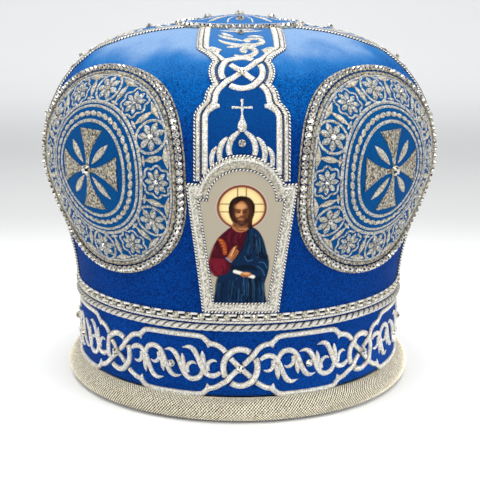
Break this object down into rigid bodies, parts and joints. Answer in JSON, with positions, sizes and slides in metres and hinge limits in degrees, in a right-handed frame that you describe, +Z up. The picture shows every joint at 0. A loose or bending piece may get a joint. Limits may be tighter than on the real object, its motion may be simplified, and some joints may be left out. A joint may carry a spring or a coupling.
{
  "type": "bishop mitre",
  "caption": "Closed bulbous velvet mitre on an upright band and padded roll, with embroidered arms, cross medallions, framed pictures and a domed top disc. Worn on the head.",
  "frame": {"origin": "on the crown's axis, in the plane that the padded roll stands on", "axes": "+Z up along the crown's axis, front with the main picture facing -Y, +X to the right of it"},
  "size_m": [0.2436, 0.2436, 0.2247],
  "materials": {
    "velvet": "velvet pile",
    "roll_cloth": "woven metal thread",
    "silver_thread": "metal thread",
    "embroidery": "metal thread on velvet",
    "rhinestone": "set glass stones",
    "picture": "matt paint",
    "crystal": "cut glass"
  },
  "bodies": {
    "root": {"crown_shell": "velvet", "head_band": "velvet", "base_roll": "roll_cloth", "band_rope": "silver_thread", "band_cord": "silver_thread", "band_chain": "rhinestone", "picture_frame_front": "silver_thread", "picture_frame_right": "silver_thread", "picture_frame_back": "silver_thread", "picture_frame_left": "silver_thread", "picture_plate_front": "picture", "picture_plate_right": "picture", "picture_plate_back": "picture", "picture_plate_left": "picture", "arm_front": "embroidery", "arm_right": "embroidery", "arm_back": "embroidery", "arm_left": "embroidery", "medallion_front_right": "embroidery", "medallion_back_right": "embroidery", "medallion_back_left": "embroidery", "medallion_front_left": "embroidery", "medallion_chain_front_right": "rhinestone", "medallion_chain_back_right": "rhinestone", "medallion_chain_back_left": "rhinestone", "medallion_chain_front_left": "rhinestone", "top_disc": "embroidery", "top_chain": "rhinestone", "medallion_stone_front_right": "crystal", "medallion_stone_back_right": "crystal", "medallion_stone_back_left": "crystal", "medallion_stone_front_left": "crystal", "arm_stone_front": "crystal", "arm_stone_right": "crystal", "arm_stone_back": "crystal", "arm_stone_left": "crystal", "top_stone": "crystal"}
  },
  "joints": []
}
